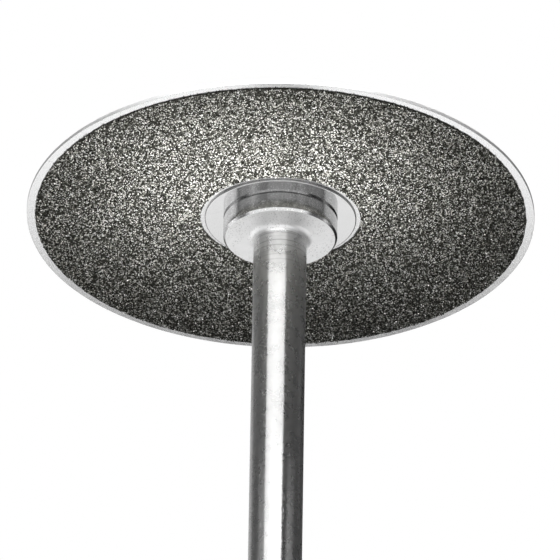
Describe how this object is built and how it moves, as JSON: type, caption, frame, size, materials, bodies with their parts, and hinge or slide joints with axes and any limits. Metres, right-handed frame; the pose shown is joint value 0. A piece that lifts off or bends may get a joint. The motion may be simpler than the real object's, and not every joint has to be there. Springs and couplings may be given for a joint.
{
  "type": "diamond grinding wheel",
  "caption": "Thin flat diamond-coated grinding disc, clamped between washers by a slotted screw on the collar of a straight handpiece shank.",
  "frame": {"origin": "centre of the shank's tail face", "axes": "+Z along the axis of rotation, from the shank's tail towards the disc; +X along the screwdriver slot"},
  "size_m": [0.0226, 0.0226, 0.0445],
  "materials": {
    "turned_steel": "turned, satin",
    "polished_steel": "mirror polished",
    "blank_steel": "bare, fine ground",
    "nickel": "electroplated, matt",
    "diamond": "sparkling crystals",
    "screw_steel": "turned"
  },
  "bodies": {
    "mandrel": {"mandrel": "turned_steel"},
    "backing_washer": {"backing_washer": "polished_steel"},
    "disc": {"disc_core": "blank_steel", "nickel_bond_under": "nickel", "diamond_grit_under": "diamond", "nickel_bond_top": "nickel", "diamond_grit_top": "diamond"},
    "clamp_washer": {"clamp_washer": "polished_steel"},
    "clamp_screw": {"clamp_screw": "screw_steel"}
  },
  "joints": [
    {"name": "washer_lift", "type": "slide", "parent": "mandrel", "child": "backing_washer", "axis": [0, 0, 1], "range_m": [0, 0.0009]},
    {"name": "disc_lift", "type": "slide", "parent": "mandrel", "child": "disc", "axis": [0, 0, 1], "range_m": [0, 0.002]},
    {"name": "clamp_lift", "type": "slide", "parent": "mandrel", "child": "clamp_washer", "axis": [0, 0, 1], "range_m": [0, 0.00315]},
    {"name": "screw_turn", "type": "hinge", "parent": "clamp_washer", "child": "clamp_screw", "pos_m": [0, 0, 0.0436], "axis": [0, 0, 1], "range_deg": [0, 3240]}
  ],
  "couplings": [
    {"joint": "screw_turn", "follows": "clamp_lift", "rad_per_m": 17952},
    {"joint": "disc_lift", "follows": "clamp_lift", "ratio": 0.6},
    {"joint": "washer_lift", "follows": "clamp_lift", "ratio": 0.26}
  ]
}
